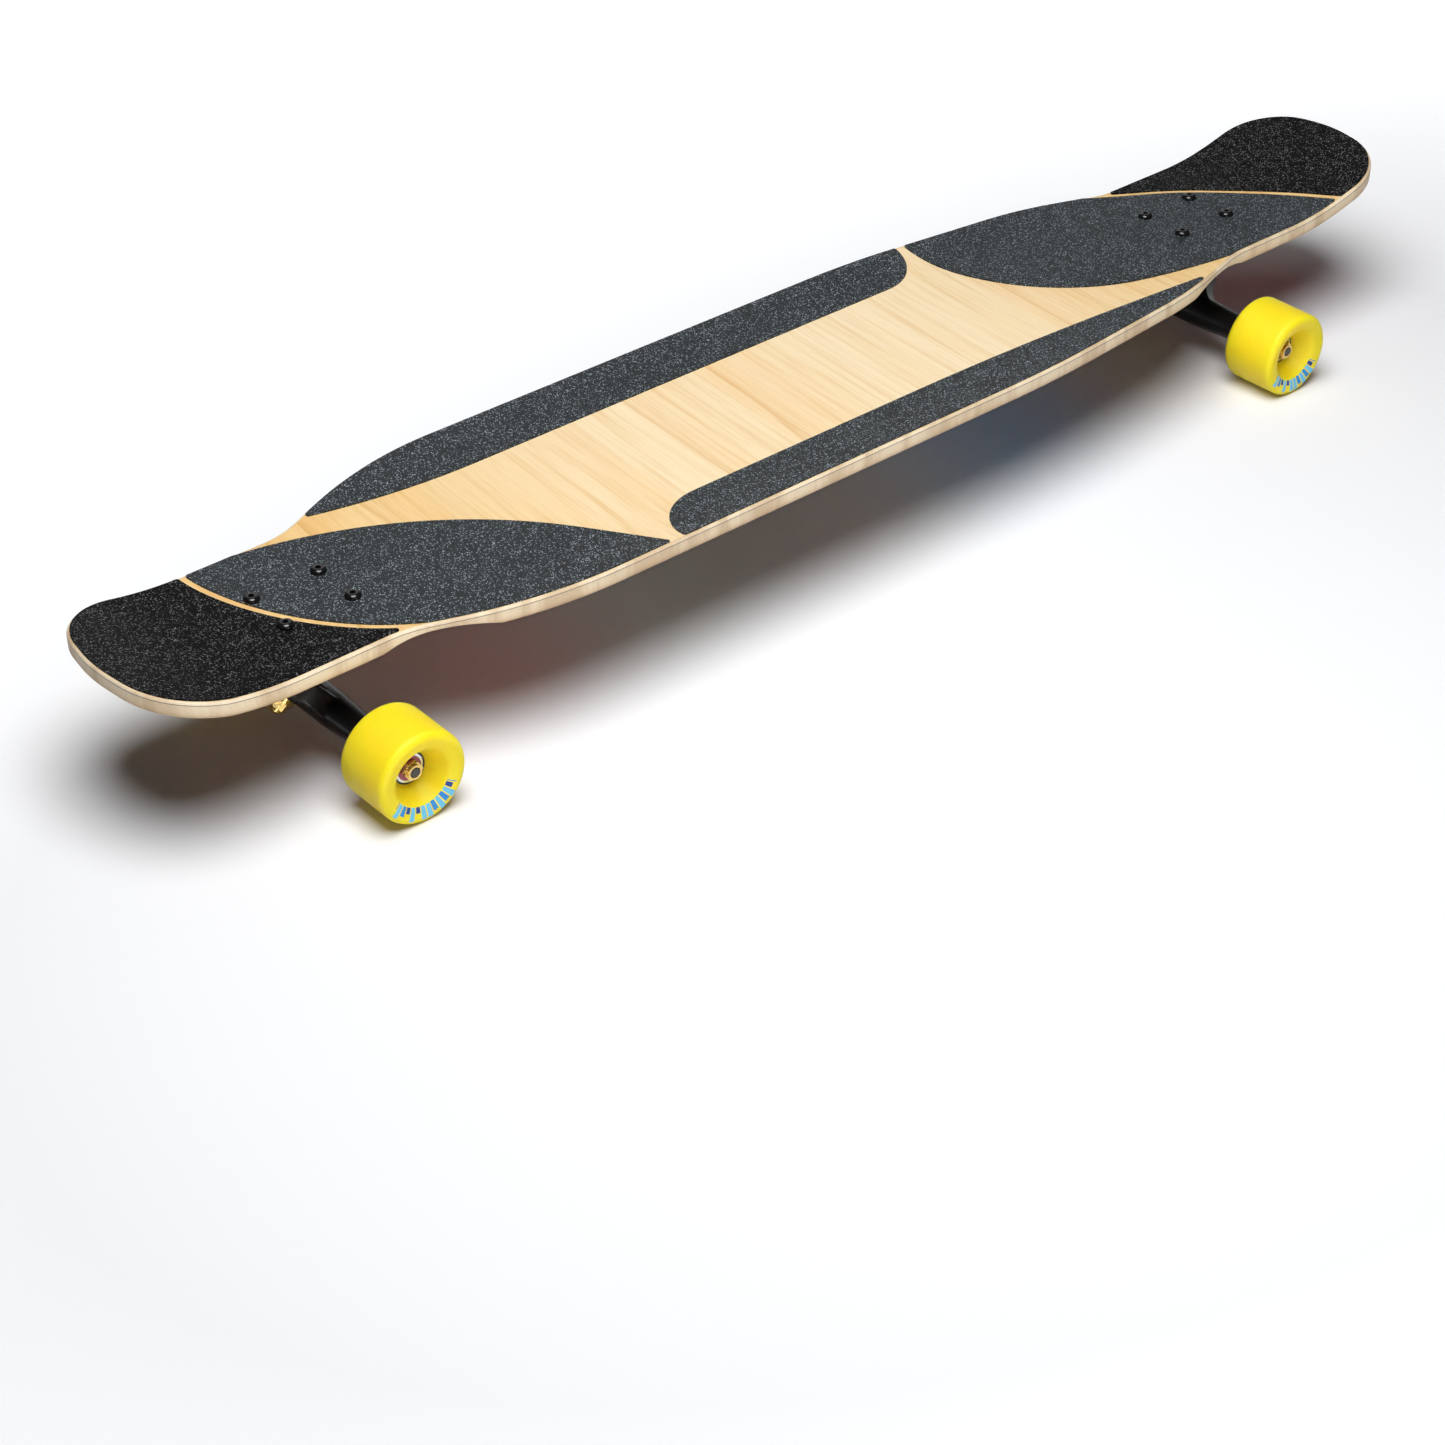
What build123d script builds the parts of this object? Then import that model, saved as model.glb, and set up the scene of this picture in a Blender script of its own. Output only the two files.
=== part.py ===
"""A dancing longboard: a pressed wooden deck with grip sheets, two reverse-kingpin trucks and four wheels.

Millimetres. +X runs towards the nose, +Y to the rider's left, +Z up. The origin lies on the ground, under
the middle of the board's length.
"""
import os
from math import atan, cos, degrees, radians, sin, sqrt

from build123d import *

os.makedirs("parts", exist_ok=True)

# Whole board
wheelbase = 880.0            # axle to axle
tail_overhang = 160.5        # tail truck centre to the tail's tip
nose_overhang = 185.0        # nose truck centre to the nose's tip
truck_height = 65.2          # deck underside to axle centre
wheel_radius = 35.0

# Deck layers and pressed shape
top_veneer_thickness = 2.3
core_thickness = 7.7
bottom_veneer_thickness = 2.3
glue_gap = 0.1
flat_half = 50.0             # half of the flat middle, across the board
flare_radius = 390.0         # upward curve of each side, on the top face
flare_angle = 14.0           # how far round that curve the pressed sheet runs
kick_start = 50.0            # outboard of each truck's centre
kick_radius = 260.0          # on the top face
kick_angle = 13.5
kick_run = 130.0             # straight run of the pressed sheet past the curve

# Deck outline
deck_half_width = 116.5
tail_neck_half = 77.3
nose_neck_half = 73.4
tail_neck_in = 33.5          # inboard of the truck's centre, where the neck ends
tail_shoulder_in = 123.4
nose_neck_in = 20.5
nose_knee_in = 101.3
nose_knee_half = 98.0
nose_shoulder_in = 275.0
tip_setback = 12.0           # from a tip to the corners beside it
tip_round = 120.0
corner_round = 57.0
corner_share = 0.76          # largest corner round, as a share of its neck
neck_round = 80.0
tail_shoulder_round = 300.0
nose_knee_round = 350.0
nose_shoulder_round = 900.0

# Wheel wells, hollowed out of the underside at the flanks
well_in = 48.0               # inboard of the truck's centre
well_length = 70.0
well_depth = 4.7
well_reach = 24.0            # from the deck's edge inwards
well_cutter_length = 110.0
tail_well_half = 86.0        # the deck's half width there
nose_well_half = 81.0

# Grip sheets
grip_thickness = 1.0
grip_gap = 0.05
grip_rim = 2.2               # bare wood left around the edge
grip_line = 5.4              # bare line between a tail or nose piece and its truck piece
grip_corner = 2.0            # rounding of each piece's points
line_run_out = 60.0          # straight run of a bare line past both ends of its arc
strip_width = 49.5           # side strips, at the widest part of the deck
strip_round = 47.0           # rounded end of a strip
left_tip_in = 26.5           # a strip's point, inside the widest part of the deck
right_tip_in = 30.5
left_strip_taper = 560.0     # long curve that leads into a strip's point
right_strip_taper = 2500.0
curve_over = 4.0             # how far a cut line runs on past the neck it crosses
strip_over = 8.5             # the same past the widest part of the deck

# Mounting bolts
bolt_pitch_x = 53.98
bolt_pitch_y = 41.275
bolt_radius = 2.4
bolt_head_radius = 6.0
bolt_head_height = 3.4
bolt_head_round = 3.0
bolt_socket_width = 4.0      # across the flats
bolt_socket_depth = 2.6
bolt_clearance = 0.25
bolt_stick_out = 1.5
mount_nut_width = 9.5        # across the flats
mount_nut_height = 5.5

# Truck layout: the steering axis slopes inboard and down, and the kingpin is square to it
steer_angle = 50.0           # steering axis to deck
axle_drop = 22.0             # ring centre to axle, along the steering axis

# Baseplate
flange_thickness = 8.0
flange_half_width = 28.5
flange_inboard = 40.0
flange_outboard = 56.0
flange_corner = 6.0
tower_radius = 14.0
tower_depth = 34.0
rib_half_width = 12.5
rib_inboard = 38.0
rib_outboard = 20.0
housing_radius = 16.0
housing_mouth = 35.0         # ring centre to the pivot housing's mouth
socket_depth = 18.0
pillar_radius = 11.0         # carries the pivot housing under the flange

# Kingpin, bushings and washers, measured along the kingpin from the ring's centre
kingpin_radius = 4.76
kingpin_clearance = 0.1
kingpin_seat_depth = 26.0    # pressed into the tower
kingpin_stick_out = 1.5
kingpin_chamfer = 1.0
bushing_radius = 12.0
bushing_height = 13.0        # barrel on the board side
cone_height = 9.0            # cone on the road side
cone_tip_radius = 8.0
bushing_bore_gap = 0.3
washer_thickness = 2.0
washer_rim = 1.6
boardside_washer_radius = 14.0
roadside_washer_radius = 10.0
kingpin_nut_width = 14.29
kingpin_nut_height = 8.0
kingpin_collar_height = 2.0
kingpin_collar_step = 0.6    # collar radius below half the nut's width

# Pivot
pivot_radius = 6.5
pivot_fit = 0.06             # running clearance in the cup
cup_wall = 3.0
cup_fit = 0.1
cup_floor = 3.0
pivot_end_gap = 0.5

# Hanger
hanger_half = 89.0           # centre line to the end of an arm
arm_end_radius = 9.8
arm_root_radius = 13.2
arm_root_half = 26.0
web_half = 8.0               # half the web's thickness
web_axle_half = 60.0
web_waist_half = 24.0
web_nose_half = 10.0
web_nose = 32.0              # ring centre to the end of the web
web_round = 30.0
web_corner_round = 0.5
ring_radius = 20.0
ring_back = 10.0
ring_front = 9.5
seat_half = 4.5              # half the thickness of the wall between the bushings
seat_gap = 0.6
front_recess_radius = 15.0
ring_bore_radius = 7.0
window_start = 20.5
window_end = 29.5
window_base_half = 5.5
window_tip_half = 2.5

# Axle, bearings and what is threaded on the axle
axle_radius = 4.0
axle_fit = 0.05
axle_stick_out = 0.5
axle_chamfer = 0.8
axle_washer_radius = 6.0
axle_washer_thickness = 1.0
axle_nut_width = 12.7
axle_nut_height = 4.6
axle_collar_radius = 5.6
axle_collar_height = 1.4
bearing_width = 7.0
bearing_radius = 11.0
spacer_length = 10.0
spacer_radius = 5.5
inner_shoulder_radius = 6.05
outer_shoulder_radius = 9.4
ball_radius = 1.98
ball_pitch_radius = 7.5
ball_count = 7
ball_gap = 0.1
shield_inner_radius = 6.3
shield_thickness = 0.35
shield_inset = 0.4

# Wheel
wheel_width = 49.5
wheel_offset = 4.75          # tyre's middle, outboard of the bearings' middle
lip_round = 5.5
lip_face = 7.5               # flat ring beside each lip
cone_drop = 2.0              # slope of that ring towards the cone
core_radius = 12.4
core_bead_radius = 16.0
core_bead_half = 4.0
core_ridge_radius = 9.5
core_fit = 0.02

# Places that follow from the sizes above
deck_thickness = top_veneer_thickness + core_thickness + bottom_veneer_thickness + 2 * glue_gap
deck_length = wheelbase + tail_overhang + nose_overhang
tail_x = tail_overhang - deck_length / 2
nose_x = deck_length / 2 - nose_overhang
under_z = wheel_radius + truck_height
top_z = under_z + deck_thickness


def write(piece, name):
    """Label a finished piece and save it as its own file."""
    piece.label = name
    export_step(piece, f"parts/{name}.step")


# Deck: a flat middle, sides that flare up and two kicked ends, cut to the outline

def pressed_sheet(low, high):
    """The pressed board between two levels, which are heights above the deck's flat top face."""
    flare_centre = top_z + flare_radius

    def on_flare(level, angle, side):
        radius = flare_radius - level
        across = flat_half + radius * sin(radians(angle))
        return (side * across, flare_centre - radius * cos(radians(angle)))

    def flare(level, side):
        return [on_flare(level, angle, side) for angle in (0, flare_angle / 2, flare_angle)]

    tail_bend = tail_x - kick_start
    nose_bend = nose_x + kick_start
    with BuildPart() as sheet:
        with BuildSketch(Plane.YZ.offset(tail_bend)) as section:
            with BuildLine():
                Line(on_flare(low, 0, -1), on_flare(low, 0, 1))
                ThreePointArc(*flare(low, 1))
                Line(on_flare(low, flare_angle, 1), on_flare(high, flare_angle, 1))
                ThreePointArc(*flare(high, 1))
                Line(on_flare(high, 0, 1), on_flare(high, 0, -1))
                ThreePointArc(*flare(high, -1))
                Line(on_flare(high, flare_angle, -1), on_flare(low, flare_angle, -1))
                ThreePointArc(*flare(low, -1))
            make_face()
        extrude(amount=nose_bend - tail_bend)
        for bend, direction in ((tail_bend, Axis.X.direction * -1), (nose_bend, Axis.X.direction)):
            end_face = sheet.faces().sort_by(Axis((0, 0, 0), direction))[-1]
            bend_axis = Axis((bend, 0, top_z + kick_radius), (0, -direction.X, 0))
            revolve(profiles=end_face, axis=bend_axis, revolution_arc=kick_angle)
            kick_face = sheet.faces().sort_by(Axis((0, 0, 0), direction))[-1]
            extrude(kick_face, amount=kick_run)
    return sheet.part


def tip_vertex(neck_half):
    """How far a tip's corner lies beyond the tip once it is rounded."""
    half_turn = atan(tip_setback / neck_half)
    return tip_round * (1 / cos(half_turn) - 1)


def outline_points():
    """Corners of the outline's left half from tail to nose, each with its rounding."""
    tail_tip = -deck_length / 2 - tip_vertex(tail_neck_half)
    nose_tip = deck_length / 2 + tip_vertex(nose_neck_half)
    tail_corner_round = min(corner_round, corner_share * tail_neck_half)
    nose_corner_round = min(corner_round, corner_share * nose_neck_half)
    return [
        ((tail_tip, 0), tip_round),
        ((tail_tip + tip_setback, tail_neck_half), tail_corner_round),
        ((tail_x + tail_neck_in, tail_neck_half), neck_round),
        ((tail_x + tail_shoulder_in, deck_half_width), tail_shoulder_round),
        ((nose_x - nose_shoulder_in, deck_half_width), nose_shoulder_round),
        ((nose_x - nose_knee_in, nose_knee_half), nose_knee_round),
        ((nose_x - nose_neck_in, nose_neck_half), neck_round),
        ((nose_tip - tip_setback, nose_neck_half), nose_corner_round),
        ((nose_tip, 0), tip_round),
    ]


left_half = outline_points()
right_half = [((x, -y), rounding) for (x, y), rounding in reversed(left_half[1:-1])]
outline_corners = left_half + right_half
with BuildSketch() as deck_outline:
    with BuildLine():
        FilletPolyline(
            *[point for point, rounding in outline_corners],
            radius=[rounding for point, rounding in outline_corners],
            close=True,
        )
    make_face()

bolt_places = [
    (truck_x + side_x * bolt_pitch_x / 2, side_y * bolt_pitch_y / 2)
    for truck_x in (tail_x, nose_x)
    for side_x in (-1, 1)
    for side_y in (-1, 1)
]
outline_height = under_z + 200.0
hole_radius = bolt_radius + bolt_clearance

with BuildPart() as wheel_wells:
    well_radius = (well_length**2 / 4 + well_depth**2) / (2 * well_depth)
    well_slope = degrees(atan(well_depth / well_reach))
    under_flare = flare_radius + deck_thickness
    well_centres = (
        (tail_x + well_in, tail_well_half),
        (nose_x - well_in, nose_well_half),
    )
    for well_x, well_half in well_centres:
        edge_rise = under_flare - sqrt(under_flare**2 - (well_half - flat_half) ** 2)
        well_z = under_z + edge_rise + well_depth - well_radius
        for side in (-1, 1):
            with Locations(Location((well_x, side * well_half, well_z), (-side * (90 - well_slope), 0, 0))):
                Cylinder(well_radius, well_cutter_length)


def deck_layer(low, high):
    """One layer of the deck between two levels, with its bolt holes and wheel wells."""
    with BuildPart() as layer:
        add(deck_outline.sketch)
        extrude(amount=outline_height)
        add(pressed_sheet(low, high), mode=Mode.INTERSECT)
        with Locations(*[(x, y, top_z) for x, y in bolt_places]):
            Cylinder(hole_radius, 4 * deck_thickness, mode=Mode.SUBTRACT)
        add(wheel_wells.part, mode=Mode.SUBTRACT)
    return layer.part


core_top = -top_veneer_thickness - glue_gap
core_bottom = core_top - core_thickness
write(deck_layer(-top_veneer_thickness, 0), "deck_top_veneer")
write(deck_layer(core_bottom, core_top), "deck_core")
write(deck_layer(-deck_thickness, core_bottom - glue_gap), "deck_bottom_veneer")

# Grip sheets: six pieces of one outline, parted by bare wood

# Bare line across each end, as three points of an arc
tail_cross = tail_neck_half + curve_over
nose_cross = nose_neck_half + curve_over
tail_line = ((tail_x - 49, tail_cross), (tail_x - 29.5, 5), (tail_x + 43, -tail_cross))
nose_line = ((nose_x + 5, 52.4), (nose_x + 58, 10), (nose_x + 112, -nose_cross))
# Curve where each truck piece meets the bare middle: an arc, which a wider one carries on at the nose
wide_cross = deck_half_width + strip_over
tail_truck_curve = (
    (tail_x - 34, tail_cross - curve_over),
    (tail_x + 138, 12.4),
    (tail_x + 232.5, -wide_cross),
)
nose_truck_curve = (
    (nose_x - 218, wide_cross),
    (nose_x - 190.3, 0.8),
    (nose_x - 113, -53.8),
    (nose_x + 25, -nose_cross),
)
# Strips: the tip on a flank, where the inner edge becomes straight, and the rounded end
strip_inner = deck_half_width - strip_width
left_strip = (
    (tail_x + 35, deck_half_width - left_tip_in),
    (tail_x + 127, strip_inner),
    (nose_x - 229.5, strip_inner),
    (nose_x - 229, wide_cross),
)
right_strip = (
    (nose_x - 60, right_tip_in - deck_half_width),
    (nose_x - 250, -strip_inner),
    (tail_x + 241, -strip_inner),
    (tail_x + 240.5, -wide_cross),
)
outer = deck_length


def grip_sheet(region):
    """A grip piece: the pressed sheet above the deck, inside the bare rim and one region."""
    with BuildPart() as sheet:
        with BuildSketch():
            add(deck_outline.sketch)
            offset(amount=-grip_rim, mode=Mode.REPLACE)
            add(region, mode=Mode.INTERSECT)
            offset(amount=-grip_corner, mode=Mode.REPLACE)
            offset(amount=grip_corner, kind=Kind.ARC, mode=Mode.REPLACE)
        extrude(amount=outline_height)
        add(pressed_sheet(grip_gap, grip_gap + grip_thickness), mode=Mode.INTERSECT)
        with Locations(*[(x, y, top_z) for x, y in bolt_places]):
            Cylinder(hole_radius, 4 * deck_thickness, mode=Mode.SUBTRACT)
    return sheet.part


def beside(points, distance):
    """Three points of the arc that runs beside another, a distance further from its centre."""
    arc = Edge.make_three_point_arc(*points)
    centre = arc.arc_center
    moved = [centre + (Vector(*point) - centre).normalized() * (arc.radius + distance) for point in points]
    return [(point.X, point.Y) for point in moved]


def line_edge(line, distance):
    """One edge of a bare line: an arc that runs on straight past both ends. Gives the two ends."""
    arc = ThreePointArc(*beside(line, distance))
    left_end = Line(arc @ 0, arc @ 0 - arc % 0 * line_run_out) @ 1
    right_end = Line(arc @ 1, arc @ 1 + arc % 1 * line_run_out) @ 1
    return (left_end.X, left_end.Y), (right_end.X, right_end.Y)


def end_region(line, outward):
    """Everything outboard of a bare line."""
    with BuildSketch() as region:
        with BuildLine():
            left_end, right_end = line_edge(line, grip_line / 2)
            Polyline(right_end, (outward * outer, right_end[1]), (outward * outer, left_end[1]), left_end)
        make_face()
    return region.sketch


def truck_region(line, curve):
    """The leaf between a bare line and a truck piece's inboard curve."""
    with BuildSketch() as region:
        with BuildLine():
            left_end, right_end = line_edge(line, -grip_line / 2)
            bend = ThreePointArc(*curve[:3])
            for run_out in curve[3:]:
                TangentArc(curve[2], run_out, tangent=bend % 1)
            Polyline(right_end, (right_end[0], -outer), (curve[-1][0], -outer), curve[-1])
            Polyline(left_end, (left_end[0], outer), (curve[0][0], outer), curve[0])
        make_face()
    return region.sketch


def strip_region(points, side, taper):
    """A side strip: along the edge, with a long point at one end and a rounded corner at the other."""
    tip, lead, corner, end = points
    with BuildSketch() as region:
        with BuildLine():
            strip_edge = FilletPolyline(tip, lead, corner, end, radius=[taper, strip_round])
            Polyline(strip_edge @ 1, (end[0], side * outer), (tip[0], side * outer), strip_edge @ 0)
        make_face()
    return region.sketch


write(grip_sheet(end_region(tail_line, -1)), "grip_tail")
write(grip_sheet(end_region(nose_line, 1)), "grip_nose")
write(grip_sheet(truck_region(tail_line, tail_truck_curve)), "grip_tail_truck")
write(grip_sheet(truck_region(nose_line, nose_truck_curve)), "grip_nose_truck")
write(grip_sheet(strip_region(left_strip, 1, left_strip_taper)), "grip_left_strip")
write(grip_sheet(strip_region(right_strip, -1, right_strip_taper)), "grip_right_strip")

# Mounting bolts and their lock nuts

head_z = top_z + grip_gap + grip_thickness
nut_top_z = under_z - flange_thickness
bolt_end_z = nut_top_z - mount_nut_height - bolt_stick_out
with BuildPart() as bolt:
    with BuildSketch(Plane.XY.offset(bolt_end_z)):
        Circle(bolt_radius)
    extrude(amount=head_z - bolt_end_z)
    with BuildSketch(Plane.XY.offset(head_z)):
        Circle(bolt_head_radius)
    extrude(amount=bolt_head_height)
    fillet(bolt.edges().filter_by(GeomType.CIRCLE).sort_by(Axis.Z)[-1], radius=bolt_head_round)
    with BuildSketch(Plane.XY.offset(head_z + bolt_head_height)):
        RegularPolygon(bolt_socket_width / 2, 6, major_radius=False)
    extrude(amount=-bolt_socket_depth, mode=Mode.SUBTRACT)
with BuildPart() as mount_bolts:
    with Locations(*bolt_places):
        add(bolt.part)
write(mount_bolts.part, "mount_bolts")

with BuildPart() as nut:
    with BuildSketch(Plane.XY.offset(nut_top_z)):
        RegularPolygon(mount_nut_width / 2, 6, major_radius=False)
        Circle(bolt_radius + bolt_clearance, mode=Mode.SUBTRACT)
    extrude(amount=-mount_nut_height)
with BuildPart() as mount_nuts:
    with Locations(*bolt_places):
        add(nut.part)
write(mount_nuts.part, "mount_nuts")

# Trucks: modelled with the outboard side at +X and the deck's underside at Z 0, then placed at each end

truck_places = {
    "nose": Location((nose_x, 0, under_z)),
    "tail": Location((tail_x, 0, under_z), (0, 0, 180)),
}
axle_centre = Vector(0, 0, -truck_height)
to_pivot = Vector(cos(radians(steer_angle)), 0, sin(radians(steer_angle)))
along_kingpin = Vector(sin(radians(steer_angle)), 0, -cos(radians(steer_angle)))
ring_centre = axle_centre + to_pivot * axle_drop
kingpin_plane = Plane(ring_centre, x_dir=(0, 1, 0), z_dir=along_kingpin)
pivot_plane = Plane(ring_centre, x_dir=(0, 1, 0), z_dir=to_pivot)

boardside_washer_at = -seat_half - bushing_height
tower_face = boardside_washer_at - washer_thickness
roadside_washer_at = seat_half + cone_height
kingpin_nut_at = roadside_washer_at + washer_thickness
kingpin_end = kingpin_nut_at + kingpin_nut_height + kingpin_stick_out


def write_for_trucks(part, name):
    """Save a truck piece twice, once at each end of the board."""
    for end, place in truck_places.items():
        write(place * part, f"{end}_{name}")


def in_side_view(along, towards_pivot):
    """A point of the truck's side view, from its distances along the kingpin and towards the pivot."""
    point = ring_centre + along_kingpin * along + to_pivot * towards_pivot
    return (point.X, point.Z)


cup_radius = pivot_radius + pivot_fit + cup_wall
socket_radius = cup_radius + cup_fit
socket_end = housing_mouth + socket_depth
with BuildPart() as baseplate:
    with BuildSketch():
        with BuildLine():
            FilletPolyline(
                (-flange_inboard, -flange_half_width),
                (bolt_pitch_x / 2 + flange_corner, -flange_half_width),
                (flange_outboard, -housing_radius / 2),
                (flange_outboard, housing_radius / 2),
                (bolt_pitch_x / 2 + flange_corner, flange_half_width),
                (-flange_inboard, flange_half_width),
                radius=flange_corner,
                close=True,
            )
        make_face()
    extrude(amount=-flange_thickness)
    with BuildSketch(Plane.XZ):
        with BuildLine():
            Polyline(
                in_side_view(tower_face - washer_thickness, -rib_half_width),
                in_side_view(tower_face - tower_depth, -rib_half_width),
                (-rib_inboard, -flange_thickness),
                (-rib_inboard, 0),
                (rib_outboard, 0),
                (rib_outboard, -flange_thickness),
                in_side_view(tower_face - washer_thickness, rib_half_width),
                close=True,
            )
        make_face()
    extrude(amount=rib_half_width, both=True)
    with BuildSketch(kingpin_plane.offset(tower_face)):
        Circle(tower_radius)
    extrude(amount=-tower_depth)
    with BuildSketch(pivot_plane.offset(housing_mouth)):
        Circle(housing_radius)
    extrude(amount=socket_depth - housing_radius / 2)
    with Locations(pivot_plane.offset(socket_end - housing_radius / 2).location):
        Sphere(housing_radius)
    pillar_foot = pivot_plane.offset(socket_end - housing_radius / 2).origin
    with BuildSketch(Plane(pillar_foot)):
        Circle(pillar_radius)
    extrude(amount=-pillar_foot.Z)
    split(bisect_by=Plane.XY, keep=Keep.BOTTOM)
    split(bisect_by=Plane.YZ.offset(-flange_inboard), keep=Keep.TOP)
    with BuildSketch(pivot_plane.offset(housing_mouth)):
        Circle(housing_radius)
    extrude(amount=-housing_radius, mode=Mode.SUBTRACT)
    with BuildSketch(pivot_plane.offset(housing_mouth)):
        Circle(socket_radius)
    extrude(amount=socket_depth, mode=Mode.SUBTRACT)
    with BuildSketch(kingpin_plane.offset(tower_face)):
        Circle(kingpin_radius + kingpin_clearance)
    extrude(amount=-kingpin_seat_depth - kingpin_clearance, mode=Mode.SUBTRACT)
    with GridLocations(bolt_pitch_x, bolt_pitch_y, 2, 2):
        Cylinder(bolt_radius + bolt_clearance, 4 * flange_thickness, mode=Mode.SUBTRACT)
write_for_trucks(baseplate.part, "baseplate")

with BuildPart() as pivot_cup:
    with BuildSketch(pivot_plane.offset(housing_mouth - washer_thickness)):
        Circle(cup_radius)
    extrude(amount=socket_depth + washer_thickness - cup_fit)
    with BuildSketch(pivot_plane.offset(housing_mouth - washer_thickness)):
        Circle(pivot_radius + pivot_fit)
    extrude(amount=socket_depth + washer_thickness - cup_fit - cup_floor, mode=Mode.SUBTRACT)
write_for_trucks(pivot_cup.part, "pivot_cup")

with BuildPart() as kingpin:
    with BuildSketch(kingpin_plane.offset(tower_face - kingpin_seat_depth)):
        Circle(kingpin_radius)
    extrude(amount=kingpin_end - tower_face + kingpin_seat_depth)
    chamfer(kingpin.edges().filter_by(GeomType.CIRCLE).sort_by(Axis.Z)[0], length=kingpin_chamfer)
write_for_trucks(kingpin.part, "kingpin")

with BuildPart() as kingpin_nut:
    with BuildSketch(kingpin_plane.offset(kingpin_nut_at)):
        RegularPolygon(kingpin_nut_width / 2, 6, major_radius=False)
    extrude(amount=kingpin_nut_height - kingpin_collar_height)
    with BuildSketch(kingpin_plane.offset(kingpin_nut_at)):
        Circle(kingpin_nut_width / 2 - kingpin_collar_step)
    extrude(amount=kingpin_nut_height)
    with BuildSketch(kingpin_plane.offset(kingpin_nut_at)):
        Circle(kingpin_radius + kingpin_clearance)
    extrude(amount=kingpin_nut_height, mode=Mode.SUBTRACT)
write_for_trucks(kingpin_nut.part, "kingpin_nut")


def cup_washer(at, radius, towards_bushing):
    """A dished washer, its rim standing up round the end of a bushing."""
    with BuildPart() as washer:
        with BuildSketch(kingpin_plane.offset(at)):
            Circle(radius)
            Circle(kingpin_radius + kingpin_clearance, mode=Mode.SUBTRACT)
        extrude(amount=-towards_bushing * washer_thickness)
        with BuildSketch(kingpin_plane.offset(at)):
            Circle(radius)
            Circle(radius - washer_thickness / 2, mode=Mode.SUBTRACT)
        extrude(amount=towards_bushing * washer_rim)
    return washer.part


write_for_trucks(cup_washer(boardside_washer_at, boardside_washer_radius, 1), "boardside_washer")
write_for_trucks(cup_washer(roadside_washer_at, roadside_washer_radius, -1), "roadside_washer")

with BuildPart() as boardside_bushing:
    with BuildSketch(kingpin_plane.offset(-seat_half)):
        Circle(bushing_radius)
        Circle(kingpin_radius + bushing_bore_gap, mode=Mode.SUBTRACT)
    extrude(amount=-bushing_height)
write_for_trucks(boardside_bushing.part, "boardside_bushing")

with BuildPart() as roadside_bushing:
    with BuildSketch(kingpin_plane.offset(seat_half)):
        Circle(bushing_radius)
    with BuildSketch(kingpin_plane.offset(roadside_washer_at)):
        Circle(cone_tip_radius)
    loft()
    with BuildSketch(kingpin_plane.offset(seat_half)):
        Circle(kingpin_radius + bushing_bore_gap)
    extrude(amount=cone_height, mode=Mode.SUBTRACT)
write_for_trucks(roadside_bushing.part, "roadside_bushing")

pivot_end = housing_mouth + socket_depth - cup_fit - cup_floor - pivot_end_gap
arm_plane = Plane(axle_centre, x_dir=(0, 1, 0), z_dir=(1, 0, 0))
with BuildPart() as hanger:
    with BuildSketch(kingpin_plane.offset(-web_half)):
        with BuildLine():
            FilletPolyline(
                (-web_axle_half, -axle_drop),
                (web_axle_half, -axle_drop),
                (web_waist_half, -web_half),
                (web_nose_half, web_nose),
                (-web_nose_half, web_nose),
                (-web_waist_half, -web_half),
                radius=[
                    web_corner_round,
                    web_corner_round,
                    web_round,
                    web_half / 2,
                    web_half / 2,
                    web_round,
                ],
                close=True,
            )
        make_face()
    extrude(amount=2 * web_half)
    with BuildSketch(arm_plane):
        with BuildLine():
            Polyline(
                (-hanger_half, 0),
                (-hanger_half, arm_end_radius),
                (-arm_root_half, arm_root_radius),
                (arm_root_half, arm_root_radius),
                (hanger_half, arm_end_radius),
                (hanger_half, 0),
                close=True,
            )
        make_face()
    revolve(axis=Axis(axle_centre, (0, 1, 0)))
    with BuildSketch(kingpin_plane.offset(-ring_back)):
        Circle(ring_radius)
    extrude(amount=ring_back + ring_front)
    with BuildSketch(pivot_plane.offset(web_nose - web_half)):
        Circle(web_nose_half)
    extrude(amount=web_half)
    with BuildSketch(pivot_plane.offset(web_nose)):
        Circle(pivot_radius)
    extrude(amount=pivot_end - web_nose)
    with BuildSketch(kingpin_plane.offset(-seat_half)):
        Circle(bushing_radius + seat_gap)
    extrude(amount=-ring_radius, mode=Mode.SUBTRACT)
    with BuildSketch(kingpin_plane.offset(seat_half)):
        Circle(front_recess_radius)
    extrude(amount=ring_radius, mode=Mode.SUBTRACT)
    with BuildSketch(kingpin_plane):
        Circle(ring_bore_radius)
    extrude(amount=ring_radius, both=True, mode=Mode.SUBTRACT)
    with BuildSketch(kingpin_plane):
        with BuildLine():
            Polyline(
                (-window_base_half, window_start),
                (window_base_half, window_start),
                (window_tip_half, window_end),
                (-window_tip_half, window_end),
                close=True,
            )
        make_face()
    extrude(amount=ring_radius, both=True, mode=Mode.SUBTRACT)
    with BuildSketch(Plane(axle_centre, x_dir=(1, 0, 0), z_dir=(0, 1, 0))):
        Circle(axle_radius + axle_fit)
    extrude(amount=hanger_half + 1, both=True, mode=Mode.SUBTRACT)
write_for_trucks(hanger.part, "hanger")

# Axles and what they carry: modelled along +Y from the axle's centre, then placed at each truck

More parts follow.
